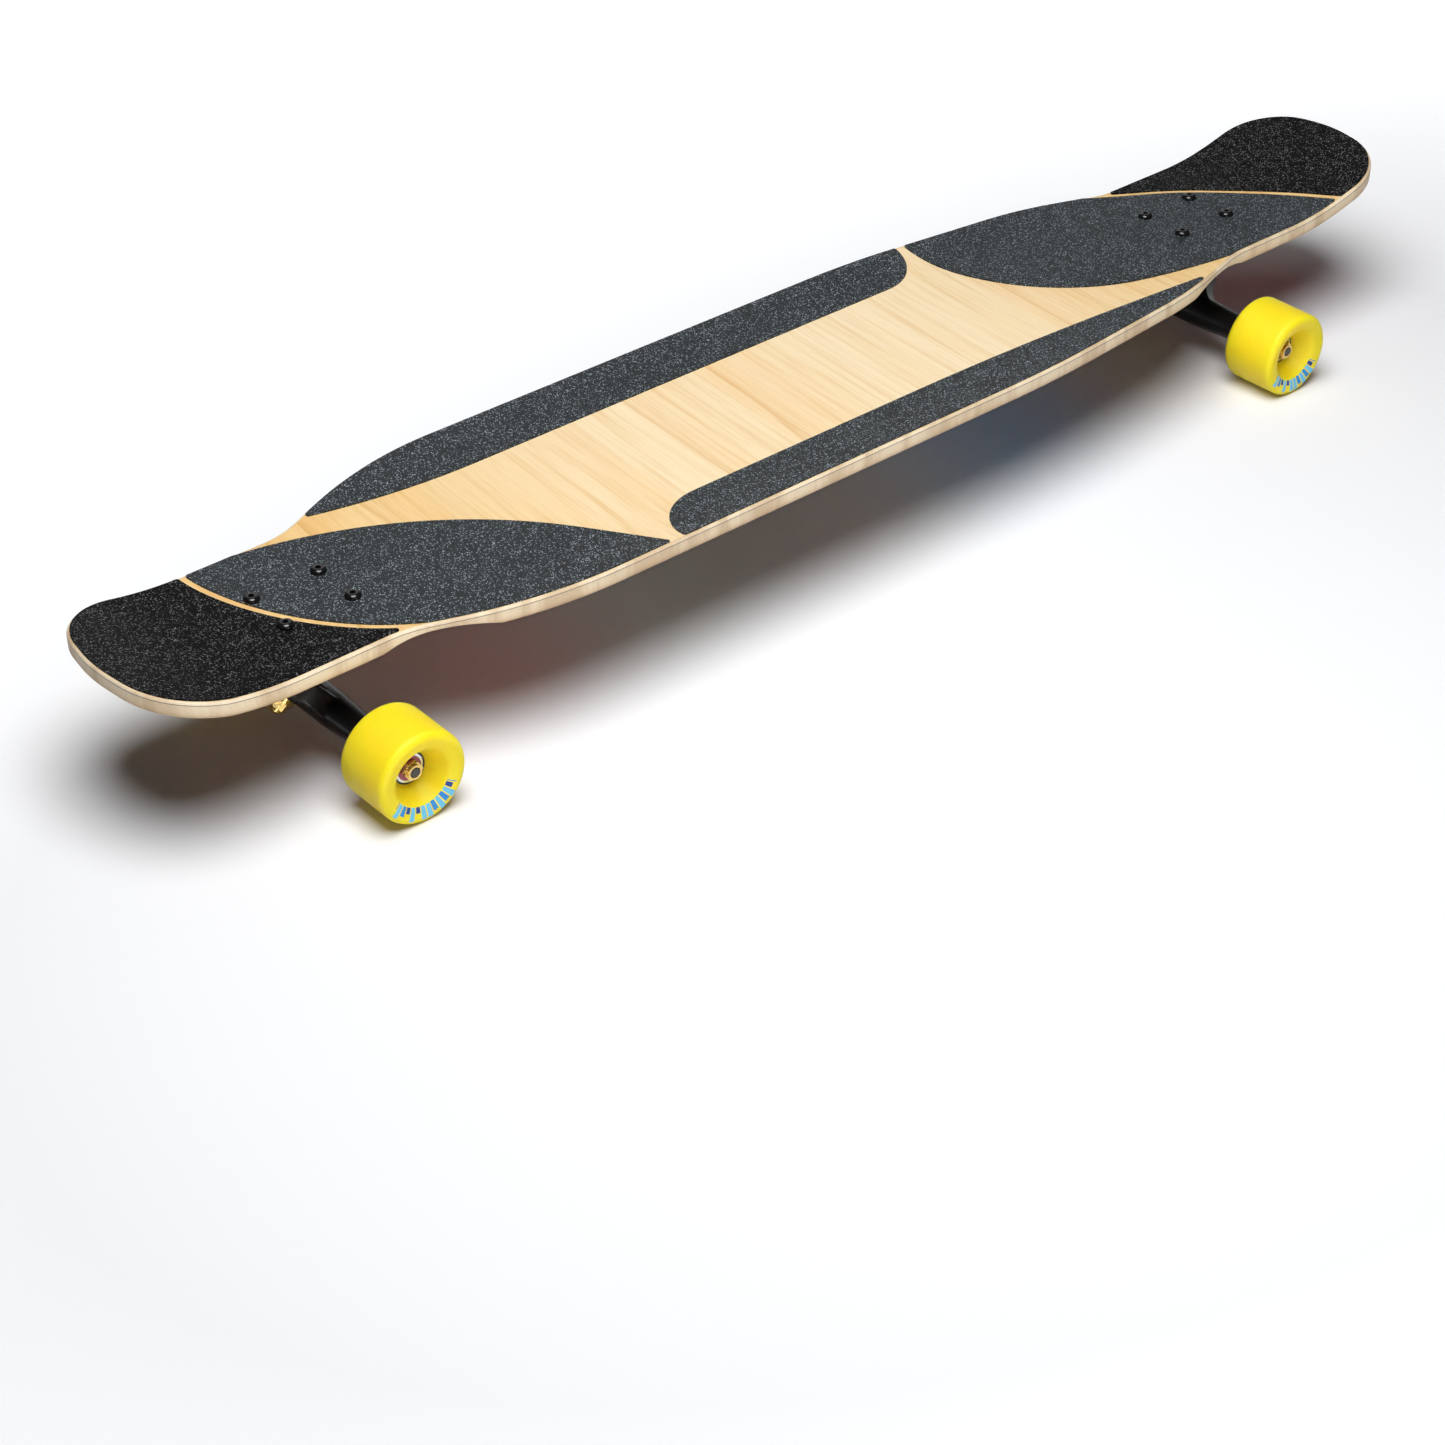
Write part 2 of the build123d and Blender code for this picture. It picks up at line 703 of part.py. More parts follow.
axle_places = {
    "nose": Location((nose_x, 0, wheel_radius)),
    "tail": Location((tail_x, 0, wheel_radius)),
}
sides = {"left": Location((0, 0, 0)), "right": Location((0, 0, 0), (0, 0, 180))}
inner_bearing_at = hanger_half + axle_washer_thickness
outer_bearing_at = inner_bearing_at + bearing_width + spacer_length
bearings_end = outer_bearing_at + bearing_width
axle_nut_at = bearings_end + axle_washer_thickness
axle_end = axle_nut_at + axle_nut_height + axle_collar_height + axle_stick_out
across = Plane(origin=(0, 0, 0), x_dir=(1, 0, 0), z_dir=(0, 1, 0))


def write_for_axles(part, name):
    """Save what both arms of a truck carry as one group, at each end of the board."""
    with BuildPart() as pair:
        for side in sides.values():
            add(side * part)
    for end, place in axle_places.items():
        write(place * pair.part, f"{end}_{name}")


with BuildPart() as axle:
    with BuildSketch(across):
        Circle(axle_radius)
    extrude(amount=axle_end, both=True)
    chamfer(axle.edges().filter_by(GeomType.CIRCLE), length=axle_chamfer)
for end, place in axle_places.items():
    write(place * axle.part, f"{end}_axle")

with BuildPart() as axle_nut:
    with BuildSketch(across.offset(axle_nut_at)):
        RegularPolygon(axle_nut_width / 2, 6, major_radius=False)
    extrude(amount=axle_nut_height)
    with BuildSketch(across.offset(axle_nut_at)):
        Circle(axle_collar_radius)
    extrude(amount=axle_nut_height + axle_collar_height)
    with BuildSketch(across.offset(axle_nut_at)):
        Circle(axle_radius + axle_fit)
    extrude(amount=axle_nut_height + axle_collar_height, mode=Mode.SUBTRACT)
write_for_axles(axle_nut.part, "axle_nuts")

with BuildPart() as axle_washers:
    for at in (hanger_half, bearings_end):
        with BuildSketch(across.offset(at)):
            Circle(axle_washer_radius)
            Circle(axle_radius + axle_fit, mode=Mode.SUBTRACT)
        extrude(amount=axle_washer_thickness)
write_for_axles(axle_washers.part, "axle_washers")

with BuildPart() as bearing_spacer:
    with BuildSketch(across.offset(inner_bearing_at + bearing_width)):
        Circle(spacer_radius)
        Circle(axle_radius + axle_fit, mode=Mode.SUBTRACT)
    extrude(amount=spacer_length)
write_for_axles(bearing_spacer.part, "bearing_spacers")


def bearing_race(inner, outer_edge):
    """Both bearings' races of one kind: a ring turned with a groove that the balls run in."""
    with BuildPart() as races:
        for at in (inner_bearing_at, outer_bearing_at):
            with BuildSketch() as section:
                with BuildLine():
                    Polyline(
                        (inner, at),
                        (outer_edge, at),
                        (outer_edge, at + bearing_width),
                        (inner, at + bearing_width),
                        close=True,
                    )
                make_face()
                with Locations((ball_pitch_radius, at + bearing_width / 2)):
                    Circle(ball_radius + ball_gap, mode=Mode.SUBTRACT)
            revolve(axis=Axis.Y)
    return races.part


write_for_axles(bearing_race(axle_radius + axle_fit, inner_shoulder_radius), "inner_races")

# Wheels: modelled on the left side of an axle, then placed at the four corners


def write_for_wheels(part, name):
    """Save a wheel piece four times, one for each corner of the board."""
    for end, place in axle_places.items():
        for side, turn in sides.items():
            write(place * turn * part, f"{end}_{side}_{name}")


write_for_wheels(bearing_race(outer_shoulder_radius, bearing_radius), "outer_races")

with BuildPart() as shields:
    for at in (inner_bearing_at, outer_bearing_at):
        for face in (shield_inset, bearing_width - shield_inset - shield_thickness):
            with BuildSketch(across.offset(at + face)):
                Circle(outer_shoulder_radius - core_fit)
                Circle(shield_inner_radius, mode=Mode.SUBTRACT)
            extrude(amount=shield_thickness)
write_for_wheels(shields.part, "shields")

with BuildPart() as balls:
    for at in (inner_bearing_at, outer_bearing_at):
        with Locations(across.offset(at + bearing_width / 2)):
            with PolarLocations(ball_pitch_radius, ball_count):
                Sphere(ball_radius)
write_for_wheels(balls.part, "balls")

bearings_middle = (inner_bearing_at + bearings_end) / 2
with BuildPart() as core:
    with BuildSketch():
        with BuildLine():
            Polyline(
                (bearing_radius + core_fit, inner_bearing_at),
                (core_radius, inner_bearing_at),
                (core_radius, bearings_middle - core_bead_half),
                (core_bead_radius, bearings_middle - core_bead_half),
                (core_bead_radius, bearings_middle + core_bead_half),
                (core_radius, bearings_middle + core_bead_half),
                (core_radius, bearings_end),
                (bearing_radius + core_fit, bearings_end),
                (bearing_radius + core_fit, outer_bearing_at),
                (core_ridge_radius, outer_bearing_at),
                (core_ridge_radius, inner_bearing_at + bearing_width),
                (bearing_radius + core_fit, inner_bearing_at + bearing_width),
                close=True,
            )
        make_face()
    revolve(axis=Axis.Y)
write_for_wheels(core.part, "core")

tyre_middle = bearings_middle + wheel_offset
tyre_inner = tyre_middle - wheel_width / 2
tyre_outer = tyre_middle + wheel_width / 2
lip_radius = wheel_radius - lip_round
cone_radius = lip_radius - lip_face
lip_mid = lip_round * (1 - cos(radians(45)))
with BuildPart() as tyre:
    with BuildSketch():
        with BuildLine():
            Polyline(
                (core_radius + core_fit, bearings_end),
                (core_radius + core_fit, bearings_middle + core_bead_half + core_fit),
                (core_bead_radius + core_fit, bearings_middle + core_bead_half + core_fit),
                (core_bead_radius + core_fit, bearings_middle - core_bead_half - core_fit),
                (core_radius + core_fit, bearings_middle - core_bead_half - core_fit),
                (core_radius + core_fit, inner_bearing_at),
                (cone_radius, tyre_inner + cone_drop),
                (lip_radius, tyre_inner),
            )
            ThreePointArc(
                (lip_radius, tyre_inner),
                (wheel_radius - lip_mid, tyre_inner + lip_mid),
                (wheel_radius, tyre_inner + lip_round),
            )
            Line((wheel_radius, tyre_inner + lip_round), (wheel_radius, tyre_outer - lip_round))
            ThreePointArc(
                (wheel_radius, tyre_outer - lip_round),
                (wheel_radius - lip_mid, tyre_outer - lip_mid),
                (lip_radius, tyre_outer),
            )
            Polyline(
                (lip_radius, tyre_outer),
                (cone_radius, tyre_outer - cone_drop),
                (core_radius + core_fit, bearings_end),
            )
        make_face()
    revolve(axis=Axis.Y)
write_for_wheels(tyre.part, "tyre")
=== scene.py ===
from math import atan2, cos, pi, radians, sin, tan

import bpy
import numpy as np
from mathutils import Matrix, Vector


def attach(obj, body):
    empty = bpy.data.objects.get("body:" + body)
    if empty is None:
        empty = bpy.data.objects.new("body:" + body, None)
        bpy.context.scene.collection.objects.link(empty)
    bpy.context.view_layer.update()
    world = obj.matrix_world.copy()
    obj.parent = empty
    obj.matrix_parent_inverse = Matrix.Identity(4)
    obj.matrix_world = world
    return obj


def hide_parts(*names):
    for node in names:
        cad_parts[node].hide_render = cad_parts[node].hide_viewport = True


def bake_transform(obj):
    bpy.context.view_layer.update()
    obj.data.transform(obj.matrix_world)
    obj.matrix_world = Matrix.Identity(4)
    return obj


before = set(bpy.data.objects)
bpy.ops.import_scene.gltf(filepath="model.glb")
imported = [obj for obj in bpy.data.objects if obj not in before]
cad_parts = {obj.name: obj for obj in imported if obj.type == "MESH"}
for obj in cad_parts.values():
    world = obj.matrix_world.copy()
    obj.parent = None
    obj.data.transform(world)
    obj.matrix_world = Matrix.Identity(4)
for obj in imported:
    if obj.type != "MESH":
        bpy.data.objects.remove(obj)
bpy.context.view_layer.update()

# Deck. Bamboo plies glued in a curved mould: flat in the middle, flared up at the sides, kicked at both ends.
# A router cuts the sheet to its waisted outline, rounds both rims and mills a well beside each wheel,
# so the plies show all round the edge. Its shape is given in millimetres and its patterns in metres.
mm = 0.001
deck_top = 112.7
deck_thickness = 12.5
flat_half = 50.0
flare_radius = 390.0
kick_radius = 260.0
kick_angle = radians(13.5)
kick_axis_height = deck_top + kick_radius

# Where each kick begins along the board, and the way it runs from there
kick_bends = ((-502.25, -1), (477.75, 1))

# The left half of the outline from the tail to the nose, each corner as (x, y, rounding)
outline_corners = [
    (-614.187, 0.0, 120.0),
    (-602.187, 77.3, 57.0),
    (-418.75, 77.3, 80.0),
    (-328.85, 116.5, 300.0),
    (152.75, 116.5, 900.0),
    (326.45, 98.0, 350.0),
    (407.25, 73.4, 80.0),
    (602.343, 73.4, 55.8),
    (614.343, 0.0, 120.0),
]
outline_arc_steps = 40


def rounded_loop(corners, arc_steps):
    """A closed polygon's points, with each corner (x, y, rounding) turned into an arc."""
    points = []
    for before, corner, after in zip(corners[-1:] + corners[:-1], corners, corners[1:] + corners[:1]):
        here = np.array(corner[:2])
        back = np.array(before[:2]) - here
        ahead = np.array(after[:2]) - here
        back = back / np.linalg.norm(back)
        ahead = ahead / np.linalg.norm(ahead)
        half_angle = np.arccos(np.clip(back @ ahead, -1, 1)) / 2
        middle = back + ahead
        centre = here + middle / np.linalg.norm(middle) * corner[2] / sin(half_angle)
        first = here + back * corner[2] / tan(half_angle) - centre
        last = here + ahead * corner[2] / tan(half_angle) - centre
        start = atan2(first[1], first[0])
        turn = (atan2(last[1], last[0]) - start + pi) % (2 * pi) - pi
        for step in range(arc_steps + 1):
            angle = start + turn * step / arc_steps
            points.append(centre + corner[2] * np.array((cos(angle), sin(angle))))
    return np.array(points)


def pressed_height(x, y, level):
    """Height of the pressed board at a level, which is a height above its flat top face."""
    out = np.maximum(np.abs(y) - flat_half, 0)
    height = deck_top + flare_radius - np.sqrt((flare_radius - level) ** 2 - out**2)
    for bend, outward in kick_bends:
        run = outward * (x - bend)
        radius = kick_axis_height - height
        turn = np.arcsin(np.clip(run / radius, 0, sin(kick_angle)))
        straight = np.maximum(run - radius * np.sin(turn), 0)
        kicked = kick_axis_height - radius * np.cos(turn) + straight * np.tan(turn)
        height = np.where(run > 0, kicked, height)
    return height


def level_at(x, y, z):
    """The level of a point of the pressed board."""
    height = z
    for bend, outward in kick_bends:
        run = outward * (x - bend)
        drop = kick_axis_height - z
        turn = np.clip(np.arctan2(run, drop), 0, kick_angle)
        unbent = kick_axis_height - drop * np.cos(turn) - run * np.sin(turn)
        height = np.where(run > 0, unbent, height)
    out = np.maximum(np.abs(y) - flat_half, 0)
    return flare_radius - np.hypot(out, deck_top + flare_radius - height)


# The left side of the outline, cut into even steps, and the way in from it at each step
right_corners = [(x, -y, rounding) for x, y, rounding in reversed(outline_corners[1:-1])]
outline = rounded_loop(outline_corners + right_corners, outline_arc_steps)
weld = 1e-6
left_side = outline[outline[:, 1] > -weld]
left_side = left_side[: np.argmax(left_side[:, 0]) + 1]
steps_along = np.linalg.norm(np.diff(left_side, axis=0), axis=1)
run_along = np.concatenate(([0], np.cumsum(steps_along)))
stations = 420
even_run = np.linspace(0, run_along[-1], stations)
left_side = np.column_stack([np.interp(even_run, run_along, left_side[:, axis]) for axis in (0, 1)])
left_side[[0, -1], 1] = 0
heading = np.gradient(left_side, axis=0)
heading[[0, -1]] = ((0, 1), (0, -1))
heading = heading / np.linalg.norm(heading, axis=1)[:, None]
inward = np.column_stack((heading[:, 1], -heading[:, 0]))

# Half of the cross-section from the middle of the top round the edge to the middle of the underside,
# as a distance in from the outline, a level, and a share of the way out from the centre line
middle_band = 30.0
middle_columns = 7
edge_insets = (middle_band, 19, 11, 6, 3.6)
rim_radius = 2.4
rim_turns = np.radians((0, 18, 36, 54, 72, 90))
side_levels = (-4.5, -6.25, -8.0)
top_half = [(middle_band, 0, share / middle_columns) for share in range(middle_columns)]
top_half += [(inset, 0, 1) for inset in edge_insets]
top_half += [(rim_radius * (1 - sin(turn)), -rim_radius * (1 - cos(turn)), 1) for turn in rim_turns]
bottom_half = [(inset, -deck_thickness - level, share) for inset, level, share in reversed(top_half)]
half_section = top_half + [(0, level, 1) for level in side_levels] + bottom_half
section = [(*spot, 1) for spot in half_section] + [(*spot, -1) for spot in reversed(half_section)]

bpy.ops.object.select_all(action="DESELECT")
bpy.ops.mesh.primitive_grid_add(x_subdivisions=len(section) - 1, y_subdivisions=stations - 1, size=1)
deck = bpy.context.object
deck.name = "deck_board"
plan = np.array([vertex.co for vertex in deck.data.vertices])
column = np.rint((plan[:, 0] + 0.5) * (len(section) - 1)).astype(int)
row = np.rint((plan[:, 1] + 0.5) * (stations - 1)).astype(int)
inset, level, share, side = np.array(section)[column].T
place = left_side[row] + inset[:, None] * inward[row]
deck_x = place[:, 0]
deck_y = place[:, 1] * share * side
deck_points = np.column_stack((deck_x, deck_y, pressed_height(deck_x, deck_y, level))) * mm
deck.data.vertices.foreach_set("co", deck_points.ravel())
bpy.ops.object.mode_set(mode="EDIT")
bpy.ops.mesh.select_all(action="SELECT")
bpy.ops.mesh.remove_doubles(threshold=weld)
bpy.ops.mesh.dissolve_degenerate(threshold=weld)
bpy.ops.mesh.normals_make_consistent(inside=False)
bpy.ops.object.mode_set(mode="OBJECT")


def new_finish(name):
    """A new material, its node tree and its shader."""
    finish = bpy.data.materials.new(name)
    finish.use_nodes = True
    return finish, finish.node_tree, finish.node_tree.nodes["Principled BSDF"]


def put(tree, kind, sockets=None, **settings):
    """Adds a node. A socket's value is a number, a colour or the output that feeds it."""
    made = tree.nodes.new(kind)
    for name, value in settings.items():
        setattr(made, name, value)
    for socket, value in (sockets or {}).items():
        if isinstance(value, bpy.types.NodeSocket):
            tree.links.new(value, made.inputs[socket])
        else:
            made.inputs[socket].default_value = value
    return made


def work_out(tree, operation, *values):
    """A Math node's result."""
    return put(tree, "ShaderNodeMath", dict(enumerate(values)), operation=operation).outputs[0]


def object_spot(tree):
    """The piece's own coordinates, one output for each axis."""
    coordinates = put(tree, "ShaderNodeTexCoord").outputs["Object"]
    return put(tree, "ShaderNodeSeparateXYZ", {0: coordinates}).outputs


def streaks(tree, scale, detail=3, roughness=0.55, distortion=0.0, lean=0.0):
    """Noise on the piece's own coordinates, turned by a lean and stretched by a scale for each axis."""
    coordinates = put(tree, "ShaderNodeTexCoord").outputs["Object"]
    leaned = put(tree, "ShaderNodeMapping", {"Vector": coordinates, "Rotation": (0, 0, lean)})
    stretched = put(tree, "ShaderNodeMapping", {"Vector": leaned.outputs["Vector"], "Scale": scale})
    noise = put(tree, "ShaderNodeTexNoise", {
        "Vector": stretched.outputs["Vector"], "Scale": 1.0, "Detail": detail,
        "Roughness": roughness, "Distortion": distortion,
    })
    return noise.outputs["Fac"]


def ramp(tree, factor, stops, interpolation="LINEAR"):
    """A colour ramp through (position, colour) stops. A colour that is one number is a grey."""
    made = put(tree, "ShaderNodeValToRGB", {"Fac": factor})
    made.color_ramp.interpolation = interpolation
    while len(made.color_ramp.elements) < len(stops):
        made.color_ramp.elements.new(1)
    for element, (position, colour) in zip(made.color_ramp.elements, stops):
        element.position = position
        element.color = (*(np.ones(3) * colour), 1)
    return made.outputs["Color"]


def mix(tree, blend, factor, first, second):
    """Two colours mixed."""
    made = put(tree, "ShaderNodeMix", data_type="RGBA", blend_type=blend)
    for socket, value in ((0, factor), (6, first), (7, second)):
        if isinstance(value, bpy.types.NodeSocket):
            tree.links.new(value, made.inputs[socket])
        else:
            made.inputs[socket].default_value = value if socket == 0 else (*value, 1)
    return made.outputs[2]


def bump(tree, shader, height, strength, distance):
    """Roughens a shader's surface from a height."""
    made = put(tree, "ShaderNodeBump", {"Height": height, "Strength": strength, "Distance": distance})
    tree.links.new(made.outputs["Normal"], shader.inputs["Normal"])


# The top ply's grain runs across the board, leaning a little: soft bands, thin growth rings and fine fibres.
# The wood is deeper in colour towards both ends.
top_bamboo, tree, shader = new_finish("top_bamboo")
grain_lean = radians(4)
rings_per_metre = 26.0
ring_sway = 2.2
pale_half, deep_half, deep_share = 0.17, 0.38, 0.95
deep_tint = (0.945, 0.82, 0.57)
ring_line = (0.86, 0.73, 0.56)
broad = streaks(tree, (24, 1.6, 24), distortion=0.2, lean=grain_lean)
grain = streaks(tree, (150, 3.5, 150), detail=5, roughness=0.62, distortion=0.2, lean=grain_lean)
fine = streaks(tree, (620, 12, 620), roughness=0.65, lean=grain_lean)
sway = streaks(tree, (14, 1.3, 14), detail=2, lean=grain_lean)
spot = object_spot(tree)
skewed = work_out(tree, "SUBTRACT", spot["X"], work_out(tree, "MULTIPLY", spot["Y"], tan(grain_lean)))
even_growth = work_out(tree, "MULTIPLY", skewed, rings_per_metre)
growth = work_out(tree, "ADD", even_growth, work_out(tree, "MULTIPLY", sway, ring_sway))
cream = ramp(tree, broad, (
    (0.32, (0.88, 0.635, 0.345)), (0.50, (0.895, 0.70, 0.43)), (0.68, (0.905, 0.735, 0.485)),
))
silk = ramp(tree, grain, ((0.34, (0.92, 0.85, 0.74)), (0.50, 1), (0.70, (1.01, 1.03, 1.08))))
fibres = ramp(tree, fine, ((0.32, (0.91, 0.85, 0.76)), (0.50, 1), (0.70, (1.02, 1.03, 1.06))))
rings = ramp(tree, work_out(tree, "FRACT", growth), (
    (0.0, ring_line), (0.05, (0.94, 0.88, 0.79)), (0.30, 1), (0.96, 1), (1.0, ring_line),
))
ring_share = ramp(tree, sway, ((0.40, 0.1), (0.62, 0.9)))
ends = put(tree, "ShaderNodeMapRange", {
    "Value": work_out(tree, "ABSOLUTE", spot["X"]),
    "From Min": pale_half, "From Max": deep_half, "To Max": deep_share,
}).outputs[0]
wood = mix(tree, "MULTIPLY", 0.9, cream, silk)
wood = mix(tree, "MULTIPLY", 0.8, wood, fibres)
wood = mix(tree, "MULTIPLY", ring_share, wood, rings)
tree.links.new(mix(tree, "MULTIPLY", ends, wood, deep_tint), shader.inputs["Base Color"])
shader.inputs["Roughness"].default_value = 0.42
shader.inputs["Coat Weight"].default_value = 0.1
shader.inputs["Coat Roughness"].default_value = 0.2
bump(tree, shader, fine, strength=0.10, distance=0.0003)

# The edge shows the plies from top to bottom, with a dark glue line under the top one and sanded end grain
edge_plies, tree, shader = new_finish("edge_plies")
glue_line = (0.30, 0.24, 0.18)
depth = put(tree, "ShaderNodeAttribute", attribute_name="ply_depth").outputs["Fac"]
plies = ramp(tree, depth, (
    (0.0, (0.74, 0.57, 0.35)), (0.07, (0.80, 0.67, 0.49)), (0.165, (0.82, 0.70, 0.53)),
    (0.182, glue_line), (0.212, glue_line),
    (0.23, (0.82, 0.69, 0.50)), (0.5, (0.85, 0.70, 0.50)), (0.80, (0.76, 0.59, 0.39)),
    (0.815, (0.58, 0.43, 0.27)), (0.83, (0.72, 0.54, 0.34)), (1.0, (0.64, 0.45, 0.26)),
))
strips = streaks(tree, (38, 38, 6), detail=4, distortion=0.3)
strip_tint = ramp(tree, strips, ((0.40, (0.74, 0.66, 0.58)), (0.55, 1), (0.75, (1.04, 1.06, 1.10))))
pores = streaks(tree, (420, 420, 1600), detail=2)
pore_tint = ramp(tree, pores, ((0.30, (0.82, 0.76, 0.68)), (0.46, 1)))
sanded = mix(tree, "MULTIPLY", 0.8, plies, strip_tint)
tree.links.new(mix(tree, "MULTIPLY", 0.5, sanded, pore_tint), shader.inputs["Base Color"])
shader.inputs["Roughness"].default_value = 0.5
bump(tree, shader, pores, strength=0.15, distance=0.0002)

# The underside is screen printed: broad chevrons in five inks, with bare bamboo left between them
printed_bamboo, tree, shader = new_finish("printed_bamboo")
chevron_slant = 1.15
chevrons_from, chevrons_to = -0.62, 0.74
coral, sky, teal = (0.84, 0.10, 0.055), (0.012, 0.28, 0.66), (0.03, 0.40, 0.28)
chalk, ink = (0.80, 0.79, 0.75), (0.012, 0.012, 0.013)
bands = (
    (0.0, ink), (0.09, None), (0.116, coral), (0.145, None), (0.165, sky), (0.20, None), (0.225, coral),
    (0.30, ink), (0.314, chalk), (0.36, teal), (0.385, None), (0.43, sky), (0.445, None), (0.46, sky),
    (0.475, None), (0.545, chalk), (0.59, ink), (0.604, sky), (0.68, None), (0.705, ink), (0.75, coral),
    (0.776, None), (0.82, sky), (0.85, coral), (0.91, ink),
)
broad = streaks(tree, (2.4, 60, 60), detail=4, distortion=0.5)
fine = streaks(tree, (7, 520, 520))
amber = ramp(tree, broad, (
    (0.30, (0.42, 0.20, 0.06)), (0.50, (0.62, 0.34, 0.12)), (0.72, (0.74, 0.46, 0.20)),
))
lines = ramp(tree, fine, ((0.30, (0.72, 0.62, 0.52)), (0.55, 1)))
wood = mix(tree, "MULTIPLY", 0.8, amber, lines)
spot = object_spot(tree)
swept = work_out(tree, "MULTIPLY", work_out(tree, "ABSOLUTE", spot["Y"]), chevron_slant)
chevron = put(tree, "ShaderNodeMapRange", {
    "Value": work_out(tree, "ADD", spot["X"], swept), "From Min": chevrons_from, "From Max": chevrons_to,
}).outputs[0]
inks = ramp(tree, chevron, [(at, colour or 0) for at, colour in bands], "CONSTANT")
inked = ramp(tree, chevron, [(at, 1 if colour else 0) for at, colour in bands], "CONSTANT")
tree.links.new(mix(tree, "MIX", inked, wood, inks), shader.inputs["Base Color"])
shader.inputs["Roughness"].default_value = 0.34
shader.inputs["Coat Weight"].default_value = 0.2
shader.inputs["Coat Roughness"].default_value = 0.15
bump(tree, shader, fine, strength=0.15, distance=0.0003)

# The wells show the inner plies, cut at a slant and left as the router leaves them
milled_bamboo, tree, shader = new_finish("milled_bamboo")
broad = streaks(tree, (9, 160, 420), detail=4, distortion=0.3)
tan_wood = ramp(tree, broad, (
    (0.30, (0.50, 0.33, 0.17)), (0.5, (0.72, 0.54, 0.34)), (0.7, (0.80, 0.64, 0.44)),
))
tree.links.new(tan_wood, shader.inputs["Base Color"])
shader.inputs["Roughness"].default_value = 0.55
bump(tree, shader, streaks(tree, (60, 700, 900), detail=2), strength=0.2, distance=0.0003)

deck_finishes = (top_bamboo, edge_plies, printed_bamboo, milled_bamboo)
on_top, on_edge, on_underside, in_well = range(len(deck_finishes))
face_slack = 0.01
for finish in deck_finishes:
    deck.data.materials.append(finish)
points = np.array([vertex.co for vertex in deck.data.vertices]) / mm
levels = level_at(*points.T)
for face in deck.data.polygons:
    corner_levels = levels[list(face.vertices)]
    if corner_levels.min() > -face_slack:
        face.material_index = on_top
    elif corner_levels.max() < face_slack - deck_thickness:
        face.material_index = on_underside
    else:
        face.material_index = on_edge

# The router's cut beside each wheel is the side of a big cylinder that dips under the deck's edge
well_depth, well_reach, well_length = 4.7, 24.0, 70.0
well_radius = (well_length**2 / 4 + well_depth**2) / (2 * well_depth)
well_slope = atan2(well_depth, well_reach)
cutter_width = 110.0
under_flare = flare_radius + deck_thickness
for well_x, well_half in ((-404.25, 86.0), (379.75, 81.0)):
    edge_rise = under_flare - (under_flare**2 - (well_half - flat_half) ** 2) ** 0.5
    well_z = deck_top - deck_thickness + edge_rise + well_depth - well_radius
    for side in (-1, 1):
        bpy.ops.object.select_all(action="DESELECT")
        bpy.ops.mesh.primitive_cylinder_add(
            vertices=256, radius=well_radius * mm, depth=cutter_width * mm,
            location=(well_x * mm, side * well_half * mm, well_z * mm),
            rotation=(-side * (pi / 2 - well_slope), 0, 0),
        )
        cutter = bpy.context.object
        for finish in deck_finishes:
            cutter.data.materials.append(finish)
        cutter.data.polygons.foreach_set("material_index", [in_well] * len(cutter.data.polygons))
        bpy.context.view_layer.objects.active = deck
        well = deck.modifiers.new("well", "BOOLEAN")
        well.operation = "DIFFERENCE"
        well.solver = "EXACT"
        well.object = cutter
        bpy.ops.object.modifier_apply(modifier="well")
        bpy.data.objects.remove(cutter)

points = np.array([vertex.co for vertex in deck.data.vertices]) / mm
depths = np.clip(-level_at(*points.T) / deck_thickness, 0, 1)
ply_depth = deck.data.attributes.new("ply_depth", "FLOAT", "POINT")
ply_depth.data.foreach_set("value", depths.astype(np.float32))
deck.data.polygons.foreach_set("use_smooth", [True] * len(deck.data.polygons))
edge_finishes = {}
for face in deck.data.polygons:
    for key in face.edge_keys:
        edge_finishes.setdefault(key, set()).add(face.material_index)
for edge in deck.data.edges:
    finishes = edge_finishes[edge.key]
    edge.use_edge_sharp = in_well in finishes and len(finishes) > 1
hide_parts("deck_core", "deck_top_veneer", "deck_bottom_veneer")
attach(deck, "board")

# Grip. Six pieces of self-adhesive abrasive sheet, cut by a die and laid with bare wood between them.
# The tail and nose carry a blacker sheet, the rest a slate one. Grit stands in clear resin.
# Its glints are painted highlights: a few grains are coloured many times brighter than the rest.
grains_per_metre = 1500.0
# Grain tones by chance; the last two stops are painted glints, far brighter than any grain's own colour
grain_tones_and_painted_glints = ((0.0, 0.0), (0.6, 0.2), (0.89, 0.4), (0.94, 9.0), (1.0, 13.0))


def grit_sheet(name, ground, grain, gloss):
    """Abrasive sheet: sub-millimetre grains on a dark ground, most dull, a few painted bright as glints."""
    finish, tree, shader = new_finish(name)
    coordinates = put(tree, "ShaderNodeTexCoord").outputs["Object"]
    grit = put(tree, "ShaderNodeTexVoronoi", {"Vector": coordinates, "Scale": grains_per_metre}, feature="F1")
    chance = put(tree, "ShaderNodeSeparateXYZ", {0: grit.outputs["Color"]}).outputs["X"]
    # Painted highlights: the brightest few grains stand in for glints of the lamps on the grit
    grain_stops_with_glints = [(at, np.add(ground, np.multiply(grain, times))) for at, times in grain_tones_and_painted_glints]
    grains = ramp(tree, chance, grain_stops_with_glints)
    patches = ramp(tree, streaks(tree, (40, 40, 40)), ((0.3, 0.92), (0.7, 1.06)))
    tree.links.new(mix(tree, "MULTIPLY", 1.0, grains, patches), shader.inputs["Base Color"])
    shader.inputs["Roughness"].default_value = 0.42
    shader.inputs["Specular IOR Level"].default_value = gloss
    bump(tree, shader, grit.outputs["Distance"], strength=0.6, distance=0.0006)
    return finish


def coat(node, finish):
    """Gives a CAD piece its finish."""
    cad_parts[node].material_slots[0].material = finish


